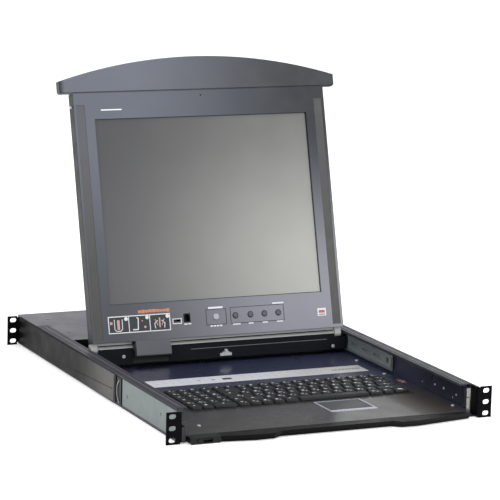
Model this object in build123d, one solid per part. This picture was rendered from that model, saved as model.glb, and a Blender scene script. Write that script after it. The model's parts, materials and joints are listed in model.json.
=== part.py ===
from build123d import *
import math
import os

# A 1U rack drawer: chassis with two independent sliding modules, a keyboard tray
# in front and a hinged display behind it, with the switch electronics at the back.
# Frame: X to the right, Y from front to rear, Z up. Origin at the centre of the
# front ears' slot pattern, on their front face. Millimetres.

# ---- driving dimensions -------------------------------------------------------
RACK_PITCH = 15.875          # rack hole pitch
RACK_HOLE_X = 465.1 / 2      # half the rack hole spacing
EAR_OUT = 241.3              # half of 482.6
EAR_IN = 219.8               # clear of the slides and of the display's handle
EAR_T = 2.0
SLOT_W, SLOT_H = 10.0, 6.6
TOP, BOTTOM = 21.8, -21.8
SHEET = 1.2
WEB_IN, WEB_OUT = 220.4, 221.6      # chassis side wall
FLANGE_IN = 203.6                   # inner edge of the top flange
FLANGE_FRONT, FLANGE_END = 22.0, 550.0
HOUSING_FRONT, DEPTH = 444.0, 634.0
BRACKET_IN, BRACKET_OUT = 223.2, 224.6
BRACKET_FRONT, REAR_EAR_Y = 230.0, 626.0
SIDE_PLATE_END = 200.0

# lanes of the telescopic slides, half widths from the middle
TRAY_OUTER = (218.5, 220.3)
TRAY_MIDDLE = (216.5, 218.1)
TRAY_INNER = (214.6, 216.2)
LCD_CHANNEL = (213.0, 214.2)
LCD_MIDDLE = (210.8, 212.6)
LCD_INNER = (208.6, 210.4)
CHEEK = (206.9, 208.5)
SLIDE_FRONT = 22.5
TRAY_SLIDE_END = 436.0
LCD_SLIDE_FRONT, LCD_SLIDE_END = 235.0, 560.0
TRAY_SLIDE_TOP = 1.2                # passes under the closed display's handle

# keyboard tray
DECK_Z = -12.5
DECK_HALF = 212.4
DECK_REAR = 398.0
PAN_Z = -19.8
PAN_FRONT = 8.0
KEY_PITCH = 17.4
KEY_GAP = 2.2
KEY_TOP, KEY_BASE = -8.4, -12.0
KEYS_RIGHT, KEYS_FRONT = 182.0, 127.0
KEYS_LEFT = KEYS_RIGHT - 19 * KEY_PITCH - 2.0
KEYS_REAR = KEYS_FRONT + 6 * KEY_PITCH
MEMBRANE_TOP = -14.2
PAD_X0, PAD_X1, PAD_Y0, PAD_Y1 = 30.0, 95.0, 68.0, 118.0
STRIP_Y0, STRIP_Y1 = 265.0, 303.0

# display module, in its own plane: x across, s up from the screen's lower edge,
# w out of the screen towards the user
LEAN = 15.5
HINGE_Y, HINGE_Z = 387.5, 17.2
HINGE_S, HINGE_W = -62.5, -14.5
LCD_T = 19.0
LCD_HALF = 199.7
LCD_BOTTOM, LCD_STEP, HANDLE_PEAK = -53.5, 307.5, 358.2
HANDLE_HALF, HANDLE_R = 219.0, 761.0
HANDLE_END_T = 12.0
SCREEN_HALF, SCREEN_H = 168.6, 269.6
STRIP_IN, STRIP_OUT = 182.7, 196.0
TAB_X0, TAB_X1, TAB_END = -133.2, -79.0, -76.0
BAR_R, PIN_R = 4.7, 2.0
RUN_GAP = 0.05
BUTTON_S = -26.2
MENU_X = (26.0, 50.0, 72.6, 95.0)
BIG_BUTTON_X = -5.0
JACK_X, SWITCH_X = -51.0, -66.5

SIDES = (-1, 1)
NODES = {}


# ---- helpers ------------------------------------------------------------------
def block(x0, x1, y0, y1, z0, z1):
    """Box between two corners."""
    size = (abs(x1 - x0), abs(y1 - y0), abs(z1 - z0))
    middle = ((x0 + x1) / 2, (y0 + y1) / 2, (z0 + z1) / 2)
    return Pos(*middle) * Box(*size)


def side_block(side, lane, y0, y1, z0, z1):
    """Box in one of the side lanes; side is -1 for left and 1 for right."""
    return block(side * lane[0], side * lane[1], y0, y1, z0, z1)


def rod(point, radius, length, axis):
    """Cylinder that starts at point and runs along axis."""
    plane = Plane(origin=point, z_dir=axis)
    return plane.location * Cylinder(radius, length, align=(Align.CENTER, Align.CENTER, Align.MIN))


def slot_cutter(x, y, z, depth=12.0):
    """Rack slot, long along X, through the thickness along Y."""
    start = Plane(origin=(x, y - depth / 2, z), x_dir=(1, 0, 0), z_dir=(0, 1, 0))
    return extrude(start * SlotOverall(SLOT_W, SLOT_H), amount=depth)


def softened(solid, axis, radius):
    """Round the edges that run along one axis."""
    return fillet(solid.edges().filter_by(axis), radius)


def group(*solids):
    """Several separate solids in one node."""
    flat = []
    for item in solids:
        flat.extend(item if isinstance(item, (list, tuple)) else [item])
    return Compound(children=[one for item in flat for one in item.solids()])


def keep(name, shape):
    """Remember a node for export."""
    NODES[name] = shape


def screw(point, axis, head_r=3.0, head_h=1.6, shank_r=0.0, shank_l=0.0):
    """Pan head with a cross recess; the head stands on point, along axis."""
    head = rod(point, head_r, head_h, axis)
    head = fillet(head.edges().sort_by(Axis(point, axis))[-1], head_h * 0.45)
    plane = Plane(origin=point, z_dir=axis)
    for size in ((head_r * 1.1, head_r * 0.28), (head_r * 0.28, head_r * 1.1)):
        head -= plane.location * Pos(0, 0, head_h) * Box(size[0], size[1], head_h)
    if shank_l:
        head += rod(point, shank_r, shank_l, tuple(-a for a in axis))
    return head


# ---- chassis ------------------------------------------------------------------
def base_pan():
    pan = block(-WEB_IN, WEB_IN, PAN_FRONT + 0.5, DEPTH - SHEET, BOTTOM, BOTTOM + SHEET)
    for x in range(-150, 151, 60):
        for y in (480, 500, 520, 540, 560):
            pan -= block(x - 20, x + 20, y, y + 5, BOTTOM - 1, BOTTOM + 2)
    return pan


def side_channel(side):
    """Side wall and, folded over its top, the flange with its lip, kept as flat strips."""
    web = side_block(side, (WEB_IN, WEB_OUT), 2, DEPTH - SHEET, BOTTOM, 20.4)
    for y in (70, 170):
        web -= rod((side * 215, y, 0), 1.6, 12, (side, 0, 0))
    flange = side_block(side, (FLANGE_IN, WEB_OUT), FLANGE_FRONT, FLANGE_END, 20.4, TOP)
    rail = side_block(side, (219.4, WEB_OUT), 2, FLANGE_FRONT, 20.4, TOP)
    lip = side_block(side, (FLANGE_IN, FLANGE_IN + SHEET), FLANGE_FRONT, HOUSING_FRONT - 2, 18.9, 20.4)
    return group(web, flange, rail, lip)


def front_ear(side):
    """Rack ear with the leg that fastens it to the side wall."""
    plate = side_block(side, (EAR_IN, EAR_OUT), 0, EAR_T, BOTTOM, TOP)
    plate -= side_block(side, (EAR_IN - 1, 221.5), -1, 3, BOTTOM - 1, BOTTOM + 2.2)
    plate -= side_block(side, (221.8, 223.4), -1, 3, TOP - 1.6, TOP + 1)
    for z in (-RACK_PITCH, 0, RACK_PITCH):
        plate -= slot_cutter(side * RACK_HOLE_X, 1, z)
    leg = side_block(side, (EAR_IN, WEB_IN), EAR_T, 20, -19.6, 20.3)
    return plate + leg


def rear_cover():
    """Top lid of the electronics housing with its folded front wall."""
    narrow = FLANGE_IN - 0.5
    lid = block(-narrow, narrow, HOUSING_FRONT, FLANGE_END + 1, 20.3, 21.5)
    lid += block(-WEB_OUT, WEB_OUT, FLANGE_END + 0.5, DEPTH - SHEET, 20.4, 21.6)
    lid += block(-205, 205, HOUSING_FRONT, HOUSING_FRONT + SHEET, -20.4, 20.3)
    for x in (-120, -60, 60, 120):
        lid -= block(x - 14, x + 14, HOUSING_FRONT - 1, HOUSING_FRONT + 3, -12, -6)
    lid -= block(-30, 30, HOUSING_FRONT - 1, HOUSING_FRONT + 3, -10, 6)
    return lid


PORT_XS = [-160 + 22.0 * i for i in range(8)]
PORT_Z = -6.0
INLET_X, ROCKER_X, CONSOLE_X = 178.0, 146.0, 60.0
ROCKER_Y, ROCKER_TILT = DEPTH - 3.5, 8.0


def rear_panel():
    panel = block(-WEB_OUT, WEB_OUT, DEPTH - SHEET, DEPTH, BOTTOM, TOP)
    for x in PORT_XS:
        panel -= block(x - 7.3, x + 7.3, DEPTH - 3, DEPTH + 1, PORT_Z - 6.3, PORT_Z + 7.3)
    panel -= block(INLET_X - 14.2, INLET_X + 14.2, DEPTH - 3, DEPTH + 1, -10.4, 10.4)
    panel -= block(ROCKER_X - 6.8, ROCKER_X + 6.8, DEPTH - 3, DEPTH + 1, -9.8, 9.8)
    panel -= block(CONSOLE_X - 16.5, CONSOLE_X + 16.5, DEPTH - 3, DEPTH + 1, -6.7, 6.7)
    for x in (CONSOLE_X + 28, CONSOLE_X + 38):
        panel -= block(x - 3.3, x + 3.3, DEPTH - 3, DEPTH + 1, -7.2, 7.2)
    for i in range(24):
        x = -160 + i * 7.0
        panel -= block(x - 2, x + 2, DEPTH - 3, DEPTH + 1, 8.0, 16.0)
    return panel


def computer_jacks():
    """Row of eight-pole modular sockets, one for each computer."""
    jacks = []
    for x in PORT_XS:
        shell = block(x - 7, x + 7, DEPTH - 20, DEPTH + 0.6, PORT_Z - 6, PORT_Z + 7)
        shell -= block(x - 5.9, x + 5.9, DEPTH - 12, DEPTH + 2, PORT_Z - 4.4, PORT_Z + 3.2)
        shell -= block(x - 3.1, x + 3.1, DEPTH - 12, DEPTH + 2, PORT_Z + 3.2, PORT_Z + 5.4)
        jacks.append(shell)
    return jacks


def console_ports():
    """Fifteen-pin video socket and two USB sockets for a second console."""
    video = block(CONSOLE_X - 15.4, CONSOLE_X + 15.4, DEPTH - 12, DEPTH + 0.8, -6.2, 6.2)
    video += block(CONSOLE_X - 8.4, CONSOLE_X + 8.4, DEPTH + 0.8, DEPTH + 6, -4.4, 4.4)
    for row, count in ((2.0, 5), (0.0, 5), (-2.0, 5)):
        for i in range(count):
            pin_x = CONSOLE_X - 4.6 + 2.3 * i
            video -= rod((pin_x, DEPTH + 2, row), 0.5, 5, (0, 1, 0))
    sockets = [video]
    for x in (CONSOLE_X + 28, CONSOLE_X + 38):
        shell = block(x - 3.0, x + 3.0, DEPTH - 14, DEPTH + 0.6, -6.9, 6.9)
        shell -= block(x - 2.4, x + 2.4, DEPTH - 9, DEPTH + 2, -6.2, 6.2)
        shell += block(x + 0.4, x + 1.8, DEPTH - 9.5, DEPTH - 0.5, -5.2, 5.2)
        sockets.append(shell)
    return sockets


def power_inlet():
    """Three-blade appliance inlet and the frame of the mains switch beside it."""
    body = block(INLET_X - 14, INLET_X + 14, DEPTH - 20, DEPTH + 2, -10.2, 10.2)
    body += block(INLET_X - 17.5, INLET_X + 17.5, DEPTH, DEPTH + 2.4, -11.6, 11.6)
    mouth = block(INLET_X - 11.8, INLET_X + 11.8, DEPTH - 15, DEPTH + 4, -7.8, 7.8)
    for side in SIDES:
        mouth -= Pos(INLET_X + side * 11.8, DEPTH, -7.8) * Rot(0, 45, 0) * Box(5.5, 40, 5.5)
    body -= mouth
    for dx, z in ((-7, 1.6), (0, -2.6), (7, 1.6)):
        body += block(INLET_X + dx - 1, INLET_X + dx + 1, DEPTH - 15.5, DEPTH - 3, z - 2, z + 2)
    frame = block(ROCKER_X - 8.4, ROCKER_X + 8.4, DEPTH, DEPTH + 1.4, -11.4, 11.4)
    frame += block(ROCKER_X - 6.7, ROCKER_X + 6.7, DEPTH - 14, DEPTH, -9.7, 9.7)
    frame -= block(ROCKER_X - 5.9, ROCKER_X + 5.9, DEPTH - 8, DEPTH + 4, -8.9, 8.9)
    return group(body, frame)


def power_switch():
    """Rocker, tilted to its off position about its axle."""
    rocker = block(ROCKER_X - 5.5, ROCKER_X + 5.5, -1.0, 5.7, -7.6, 7.6)
    rocker -= rod((ROCKER_X - 10, 17.0, 0), 12.6, 20, (1, 0, 0))
    rocker += rod((ROCKER_X - 5.8, 0, 0), 1.0, 11.6, (1, 0, 0))
    return Pos(0, ROCKER_Y, 0) * Rot(ROCKER_TILT, 0, 0) * rocker


def main_board():
    """Switch board: laminate, matrix chip, heat sink, headers and four standoffs."""
    board = block(-180, 100, 470, DEPTH - 23, -15.6, -14.0)
    for x in (-170, 90):
        for y in (480, 600):
            board += rod((x, y, BOTTOM + SHEET), 3, 5.1, (0, 0, 1))
    for x, y, half, height in ((-60, 540, 14, 2), (0, 540, 10, 2), (-120, 520, 8, 1.6), (50, 510, 9, 1.6)):
        board += block(x - half, x + half, y - half, y + half, -14.0, -14.0 + height)
    for i in range(6):
        board += rod((-165 + i * 14, 492, -14.0), 3.2, 9, (0, 0, 1))
    for i in range(7):
        board += block(-73 + i * 4, -71.6 + i * 4, 526, 554, -12.0, -2.0)
    return board


def power_supply():
    """Boxed supply beside the board, with a vent grid."""
    supply = block(112, 200, 462, 604, -18.4, 17.0)
    for i in range(9):
        supply -= block(120 + i * 8.6, 125 + i * 8.6, 480, 590, 15.2, 18)
    supply -= block(114, 198, 464, 602, -16.4, 14.6)
    supply += block(120, 192, 470, 596, -16.4, -14.8)
    supply += block(130, 160, 500, 530, -14.8, 8)
    supply += rod((178, 560, -14.8), 9, 22, (0, 0, 1))
    return supply


def slide_pair(lane, y0, y1, z0, z1, fold=0.0):
    """The same member on both sides; fold is the depth of its rolled edges."""
    members = []
    for side in SIDES:
        member = side_block(side, lane, y0, y1, z0, z1)
        if fold:
            outer = max(lane)
            groove = (min(lane) - 1, outer - 0.7)
            member -= side_block(side, groove, y0 - 1, y1 + 1, z0 + fold, z1 - fold)
        members.append(member)
    return members


def fixed_slide_members():
    """Outer members of the tray slides and the end plates that close their front."""
    members = slide_pair(TRAY_OUTER, SLIDE_FRONT + 1.4, TRAY_SLIDE_END, -16.6, 14.6, 4.0)
    closed = []
    for side, member in zip(SIDES, members):
        plate = side_block(side, TRAY_OUTER, SLIDE_FRONT, SLIDE_FRONT + 1.4, -16.6, 14.6)
        plate += side_block(side, (214.9, TRAY_OUTER[1]), SLIDE_FRONT, SLIDE_FRONT + 1.4, 2.4, 14.6)
        closed.append(member + plate)
    return group(closed)


def lcd_rail_channel(side):
    """Black channel, hung from the top flange, that carries the display's slide."""
    wall = side_block(side, LCD_CHANNEL, SLIDE_FRONT, LCD_SLIDE_END + 2, -16.4, 20.3)
    wall -= side_block(side, (212, 216), SLIDE_FRONT + 4.0, SLIDE_FRONT + 6.6, -10, 7)
    for y, z in ((60, -6), (120, 8), (150, -4)):
        wall -= rod((side * 212, y, z), 2.2, 4, (side, 0, 0))
    tab = side_block(side, (LCD_MIDDLE[0], LCD_CHANNEL[0]), SLIDE_FRONT, SLIDE_FRONT + SHEET, -11.5, 15.0)
    tab += side_block(side, (208.4, LCD_MIDDLE[0]), SLIDE_FRONT, SLIDE_FRONT + SHEET, -11.5, -6.2)
    tab -= rod((side * 211.9, SLIDE_FRONT - 1, 8.6), 0.7, 4, (0, 1, 0))
    hook = side_block(side, (208.4, LCD_CHANNEL[0]), SLIDE_FRONT, LCD_SLIDE_FRONT - 8, 18.6, 20.3)
    return group(wall, tab, hook)


def side_plates():
    """Zinc plates on the outside of the side walls, in front of the brackets."""
    plates = []
    for side in SIDES:
        plate = side_block(side, (WEB_OUT, 223.4), 3, SIDE_PLATE_END, -16.5, 20.2)
        for y, z in ((64, 3.5), (184, -1)):
            plate += rod((side * 223.4, y, z), 2.2, 0.6, (side, 0, 0))
        plates.append(plate)
    return group(plates)


def bracket_retainers():
    """Guides that the rear brackets slide in, with a stop block at the front."""
    guides = []
    for side in SIDES:
        guide = side_block(side, (WEB_OUT, 222.8), 203, 618, -14.5, -11.5)
        guide += side_block(side, (WEB_OUT, 222.8), 203, 618, 11.5, 14.5)
        guide += side_block(side, (WEB_OUT, 222.8), 203, 227, -18.0, 19.0)
        guide += side_block(side, (222.8, 224.2), 203, 206, -18.0, 19.0)
        guide += side_block(side, (222.8, 224.2), 224.5, 227, -18.0, 19.0)
        guides.append(guide)
    return group(guides)


def retainer_springs():
    """Bowed leaf springs in the retainers."""
    springs = []
    for side in SIDES:
        bow = Plane(origin=(side * 222.9, 215.2, 0), x_dir=(0, 1, 0), z_dir=(side, 0, 0))
        arc = ThreePointArc((-4.5, -15.5), (4.5, 0), (-4.5, 15.5))
        ribbon = Plane(arc @ 0, x_dir=(0, 0, 1), z_dir=arc % 0) * Rectangle(1.2, 1.3)
        springs.append(bow.location * Pos(0, 0, 0.7) * sweep(ribbon, path=arc))
    return group(springs)


def rear_bracket(side):
    """Long outside bracket with the rear rack ear."""
    web = side_block(side, (BRACKET_IN, BRACKET_OUT), BRACKET_FRONT, REAR_EAR_Y, -18.5, 18.5)
    web += side_block(side, (222.0, BRACKET_OUT), BRACKET_FRONT, REAR_EAR_Y, 18.5, 19.9)
    ear = side_block(side, (BRACKET_IN, EAR_OUT), REAR_EAR_Y - EAR_T, REAR_EAR_Y, BOTTOM, TOP)
    for z in (-RACK_PITCH, 0, RACK_PITCH):
        ear -= slot_cutter(side * RACK_HOLE_X, REAR_EAR_Y - 1, z)
    ear -= side_block(side, (BRACKET_IN - 1, 226.0), REAR_EAR_Y - 4, REAR_EAR_Y + 2, 19.9, 23)
    ear -= side_block(side, (BRACKET_IN - 1, 226.0), REAR_EAR_Y - 4, REAR_EAR_Y + 2, -23, -18.5)
    web -= rod((side * 221, 236, -1), 1.6, 5, (side, 0, 0))
    return web + ear


def chassis_screws():
    screws = []
    for side in SIDES:
        for y in (500, 590):
            screws.append(screw((side * 190, y, 21.6 if y > FLANGE_END else 21.5), (0, 0, 1), 2.6, 0.55))
        for y in (470, 540, 610):
            screws.append(screw((side * 209, y, BOTTOM + SHEET), (0, 0, 1), 2.2, 1.0))
        screws.append(screw((side * 205, DEPTH, -14), (0, 1, 0), 2.8, 1.6))
        screws.append(screw((side * 205, DEPTH, 14), (0, 1, 0), 2.8, 1.6))
    return group(screws)


# ---- keyboard tray ------------------------------------------------------------
def tray_pan():
    """Tray floor with the corner bracket that closes the gap beside the left ear."""
    pan = block(-TRAY_INNER[0], TRAY_INNER[0], PAN_FRONT, DECK_REAR, PAN_Z, PAN_Z + SHEET)
    pan += side_block(-1, (213.4, TRAY_INNER[0]), 1.0, 20.8, PAN_Z, 1.0)
    pan += side_block(-1, (213.4, 219.3), 0.0, 1.6, PAN_Z, 1.0)
    return pan


def lip_outline(inset=0.0):
    """Plan of the front lip: flat ends, slanting forward, with a finger recess."""
    half = DECK_HALF - 5
    front = [(-half, -4), (-118, -18), (-92, -17), (-80, -9.5), (84, -9.5), (96, -18)]
    front += [(120, -19), (half, -4)]
    points = [(x, y + inset) for x, y in front] + [(half, PAN_FRONT), (-half, PAN_FRONT)]
    return make_face(Polyline(*points, close=True))


def front_lip():
    """Tray front: a thin blade over a set-back face."""
    blade = extrude(Plane.XY.offset(-16.0) * lip_outline(), amount=3.3)
    face = extrude(Plane.XY.offset(-21.6) * lip_outline(4.5), amount=5.6)
    lip = blade + face
    lip -= block(-211, -166, -30, 7, -23, -11.6)
    return lip


def tray_deck():
    """Moulded deck: palm rest, keyboard opening and the glossy rear field."""
    deck = block(-DECK_HALF, DECK_HALF, PAN_FRONT, DECK_REAR, PAN_Z + SHEET, DECK_Z)
    deck -= block(KEYS_LEFT - 6, KEYS_RIGHT + 6, KEYS_FRONT - 5, KEYS_REAR + 6, -19, -11)
    deck -= block(PAD_X0 - 3, PAD_X1 + 3, PAD_Y0 - 9, PAD_Y1, -16, -11)
    deck -= block(-150.5, 188.5, STRIP_Y0 - 0.2, STRIP_Y1 + 0.2, DECK_Z - 0.6, -11)
    for x in (-100, 100):
        deck -= block(x - 60, x + 60, 318, 380, -19, -15)
    return deck


def keyboard_frame():
    """Bezel around the keys, with the gap between main block and number pad."""
    x0, x1 = KEYS_LEFT - 5.7, KEYS_RIGHT + 5.7
    y0, y1 = KEYS_FRONT - 4.7, KEYS_REAR + 5.7
    frame = block(x0, x1, y0, y1, -14.0, DECK_Z + 0.3)
    pad_right = KEYS_LEFT + 4 * KEY_PITCH
    frame -= block(KEYS_LEFT - 0.6, pad_right + 0.2, KEYS_FRONT - 0.6, KEYS_REAR + 0.6, -15, -11)
    frame -= block(pad_right + 1.6, KEYS_RIGHT + 0.6, KEYS_FRONT - 0.6, KEYS_REAR + 0.6, -15, -11)
    return frame


def keyboard_board():
    """Membrane and steel backing under the keys."""
    board = block(KEYS_LEFT - 5, KEYS_RIGHT + 5, KEYS_FRONT - 4.2, KEYS_REAR + 5.2, -17.8, MEMBRANE_TOP)
    return board


def key_cap(x0, x1, row):
    """One tapered key; row 0 is nearest the user."""
    y0 = KEYS_FRONT + row * KEY_PITCH
    wide = x1 - x0 - KEY_GAP
    deep = KEY_PITCH - KEY_GAP
    place = Pos((x0 + x1) / 2, y0 + KEY_PITCH / 2, KEY_BASE)
    base = Rectangle(wide, deep)
    top = Pos(0, 0, KEY_TOP - KEY_BASE) * Rectangle(wide - 3.0, deep - 3.2)
    return place * loft([base, top])


# widths in key units, from the right-hand (Escape) side to the left; 0 marks a gap
MAIN_ROWS = [
    (1.25, 1, 1.25, 6.25, 1.25, 1, 1, 1, 1),
    (2.25, 1, 1, 1, 1, 1, 1, 1, 1, 1, 1, 1.75, 1),
    (1.75, 1, 1, 1, 1, 1, 1, 1, 1, 1, 1, 1, 2.25),
    (1.5, 1, 1, 1, 1, 1, 1, 1, 1, 1, 1, 1, 1, 1.5),
    (1, 1, 1, 1, 1, 1, 1, 1, 1, 1, 1, 1, 1, 2),
    (1, 1, 1, 1, 1, 1, 1, 1, 1, 1, 1, 1, 1, 1, 1),
]
PAD_ROWS = [(2, 1, 1), (1, 1, 1, 1), (1, 1, 1, 1), (1, 1, 1, 1), (1, 1, 1, 1), (1, 1, 1, 1)]
ROW_NAMES = ("bottom", "lower", "home", "upper", "number", "function")


def key_row(row):
    caps = []
    x = KEYS_RIGHT
    for units in MAIN_ROWS[row]:
        caps.append(key_cap(x - units * KEY_PITCH, x, row))
        x -= units * KEY_PITCH
    x = KEYS_LEFT + 4 * KEY_PITCH
    for units in PAD_ROWS[row]:
        caps.append(key_cap(x - units * KEY_PITCH, x, row))
        x -= units * KEY_PITCH
    return group(caps)


def touchpad():
    pad = block(PAD_X0, PAD_X1, PAD_Y0, PAD_Y1 - 1, -15.8, -13.3)
    return softened(pad, Axis.Z, 1.5)


def touchpad_rim():
    """Bright rim around the pad, open where the two buttons lie."""
    rim = block(PAD_X0 - 2.7, PAD_X1 + 2.7, PAD_Y0 - 8.7, PAD_Y1 - 0.3, -15.8, DECK_Z + 0.3)
    rim -= block(PAD_X0 - 0.3, PAD_X1 + 0.3, PAD_Y0 - 0.3, PAD_Y1 - 0.7, -17, -11)
    rim -= block(PAD_X0 - 0.3, PAD_X1 + 0.3, PAD_Y0 - 7.3, PAD_Y0 - 1.3, -17, -11)
    return rim


def touchpad_button(index):
    middle = (PAD_X0 + PAD_X1) / 2
    x0, x1 = ((PAD_X0, middle - 0.3), (middle + 0.3, PAD_X1))[index]
    button = block(x0, x1, PAD_Y0 - 7.0, PAD_Y0 - 1.6, -14.6, DECK_Z + 0.4)
    return softened(button, Axis.Z, 0.8)


def label_strip():
    return block(-150.0, 188.0, STRIP_Y0, STRIP_Y1, DECK_Z - 0.6, DECK_Z + 0.05)


def mouse_port_housing():
    """Front corner housing with a socket for an outside mouse and a reset knob."""
    shell = block(-210.5, -166.5, -9.0, 7.0, -21.6, DECK_Z + 0.2)
    shell = chamfer(shell.edges().filter_by(Axis.Y).sort_by(Axis.Z)[:2], 2.0)
    shell -= block(-192.6, -178.4, -10, -1, -20.2, -14.2)
    shell -= rod((-198.6, -10, -17.0), 2.3, 6, (0, 1, 0))
    return shell


def mouse_socket():
    """Metal socket in the housing, with a small round stud beside it."""
    shell = block(-192.3, -178.7, -8.8, -1.3, -19.9, -14.5)
    shell -= block(-191.8, -179.2, -10, -2.3, -19.4, -15.0)
    shell += block(-190.8, -180.2, -8.0, -2.3, -16.6, -15.4)
    stud = rod((-198.6, -10.4, -17.0), 1.9, 4.4, (0, 1, 0))
    stud = fillet(stud.edges().sort_by(Axis.Y)[0], 0.6)
    return group(shell, stud)


def tray_inner_members():
    """Inner members, with a turned end that covers the others at the front."""
    members = []
    for side, member in zip(SIDES, slide_pair(TRAY_INNER, SLIDE_FRONT, 420.0, PAN_Z, TRAY_SLIDE_TOP)):
        cap = side_block(side, (TRAY_INNER[0], 218.3), 20.9, 22.3, PAN_Z, TRAY_SLIDE_TOP)
        cap += side_block(side, TRAY_INNER, 22.3, SLIDE_FRONT, PAN_Z, TRAY_SLIDE_TOP)
        members.append(member + cap)
    return group(members)


def tray_middle_members():
    return group(slide_pair(TRAY_MIDDLE, SLIDE_FRONT, 430.0, -14.6, TRAY_SLIDE_TOP, 3.0))


def tray_screws():
    screws = []
    for x, y in ((-174.6, 48), (203.0, 40), (-198, 240), (200, 240), (-198, 330), (200, 330)):
        screws.append(screw((x, y, DECK_Z), (0, 0, 1), 2.6, 1.2))
    return group(screws)


# ---- display carriage ---------------------------------------------------------
WALL_Y = 382.2
WALL_TOP = 18.6                     # the raised front edge hides the bars' lower half
GAP_X0, GAP_X1 = TAB_X0 - 1.6, TAB_X1 + 1.6


def carriage_frame():
    """Wall under the hinge, floor plate behind it and the side cheeks."""
    wall = block(-CHEEK[0], GAP_X0, WALL_Y, WALL_Y + 1.6, -5.8, 12.2)
    wall += block(GAP_X1, CHEEK[0], WALL_Y, WALL_Y + 1.6, -5.8, 12.2)
    for x0, x1 in ((-188.4, GAP_X0), (GAP_X1, 188.4)):
        wall += block(x0, x1, WALL_Y, WALL_Y + 0.8, 12.2, WALL_TOP)
    floor = block(-CHEEK[0], CHEEK[0], WALL_Y + 1.6, 436, -5.8, -4.4)
    wall -= block(-44, 176, WALL_Y - 1, WALL_Y + 0.5, 9.7, 10.6)
    frame = wall + floor
    for side in SIDES:
        frame += side_block(side, CHEEK, WALL_Y - 4, 436, -5.4, 15.0)
        ear = side_block(side, (200.6, CHEEK[0]), WALL_Y + 1.6, 396, -4.4, 12.2)
        ear += side_block(side, (200.6, 203.0), WALL_Y, 396, 12.2, 20.2)
        frame += ear
    for x in (-60, 60, 140):
        frame += block(x - 1, x + 1, WALL_Y + 1.6, 430, -4.4, 4.0)
    frame -= rod((-205, HINGE_Y, HINGE_Z), PIN_R, 410, (1, 0, 0))
    return frame


def hinge_bars():
    """Two round bars on the hinge axis, left and right of the tab."""
    bars = []
    for x0, x1 in ((-188.4, GAP_X0), (GAP_X1, 188.4)):
        bar = rod((x0, HINGE_Y, HINGE_Z), BAR_R - 0.3, x1 - x0, (1, 0, 0))
        bar += block(x0, x1, HINGE_Y - 2.4, HINGE_Y + 2.0, 12.2, HINGE_Z - 2)
        bar -= rod((x0 - 1, HINGE_Y, HINGE_Z), PIN_R, x1 - x0 + 2, (1, 0, 0))
        bars.append(bar)
    return group(bars)


def hinge_pin():
    return rod((-203.0, HINGE_Y, HINGE_Z), PIN_R, 406.0, (1, 0, 0))


def lcd_inner_members():
    """Display slide members with slots, a release tab and a rivet at the front end."""
    members = []
    for side in SIDES:
        member = side_block(side, LCD_INNER, LCD_SLIDE_FRONT, LCD_SLIDE_END, -5.4, 15.2)
        member -= side_block(side, (LCD_INNER[0] - 1, LCD_INNER[0] + 0.9), LCD_SLIDE_FRONT + 30, 570, -1.4, 11.2)
        for i in range(3):
            y0 = LCD_SLIDE_FRONT + 40 + i * 36
            member -= side_block(side, (207, 212), y0, y0 + 20, 3.4, 6.4)
        member -= side_block(side, (207, 212), LCD_SLIDE_FRONT + 9, LCD_SLIDE_FRONT + 18, 1.5, 9.0)
        member += side_block(side, (206.6, LCD_INNER[0]), LCD_SLIDE_FRONT, LCD_SLIDE_FRONT + 5, -2.0, 11.5)
        member += rod((side * LCD_INNER[0], LCD_SLIDE_FRONT + 22, -2.6), 1.8, 0.9, (-side, 0, 0))
        members.append(member)
    return group(members)


def lcd_middle_members():
    return group(slide_pair(LCD_MIDDLE, LCD_SLIDE_FRONT + 3, LCD_SLIDE_END, -9.0, 17.6, 4.0))


def lid_catch():
    """Spring catch on the wall for the closed display."""
    catch = block(2.0, 20.0, WALL_Y - 2.6, WALL_Y, -2.4, 1.6)
    catch += block(6.0, 16.0, WALL_Y - 2.6, WALL_Y, 1.6, 3.4)
    catch += rod((11.0, WALL_Y, 5.2), 2.2, 3.6, (0, -1, 0))
    catch += block(10.0, 12.0, WALL_Y - 2.0, WALL_Y, 3.0, 5.0)
    return catch


def carriage_screws():
    screws = [screw((186.3, WALL_Y, -0.8), (0, -1, 0), 2.6, 1.4)]
    screws.append(screw((-149.3, WALL_Y, 6.5), (0, -1, 0), 2.6, 1.4))
    for x in (-190, -90, 0, 90, 190):
        screws.append(screw((x, 422, -4.4), (0, 0, 1), 2.4, 1.2))
    return screws


# ---- display module -----------------------------------------------------------
lean = math.radians(LEAN)
UP = (0, math.sin(lean), math.cos(lean))
OUT = (0, -math.cos(lean), math.sin(lean))
SCREEN_Y = HINGE_Y - HINGE_S * UP[1] - HINGE_W * OUT[1]
SCREEN_Z = HINGE_Z - HINGE_S * UP[2] - HINGE_W * OUT[2]
LCD_PLANE = Plane(origin=(0, SCREEN_Y, SCREEN_Z), x_dir=(1, 0, 0), z_dir=OUT)


def on_lcd(shape):
    """Place a shape that was built in the display's own x, s, w."""
    return LCD_PLANE.location * shape


def big_frame_cut(x0, x1, s0, s1):
    """Thin groove drawn around a button field."""
    groove = block(x0, x1, s0, s1, -0.5, 1) - block(x0 + 0.8, x1 - 0.8, s0 + 0.8, s1 - 0.8, -1, 2)
    return groove


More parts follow.
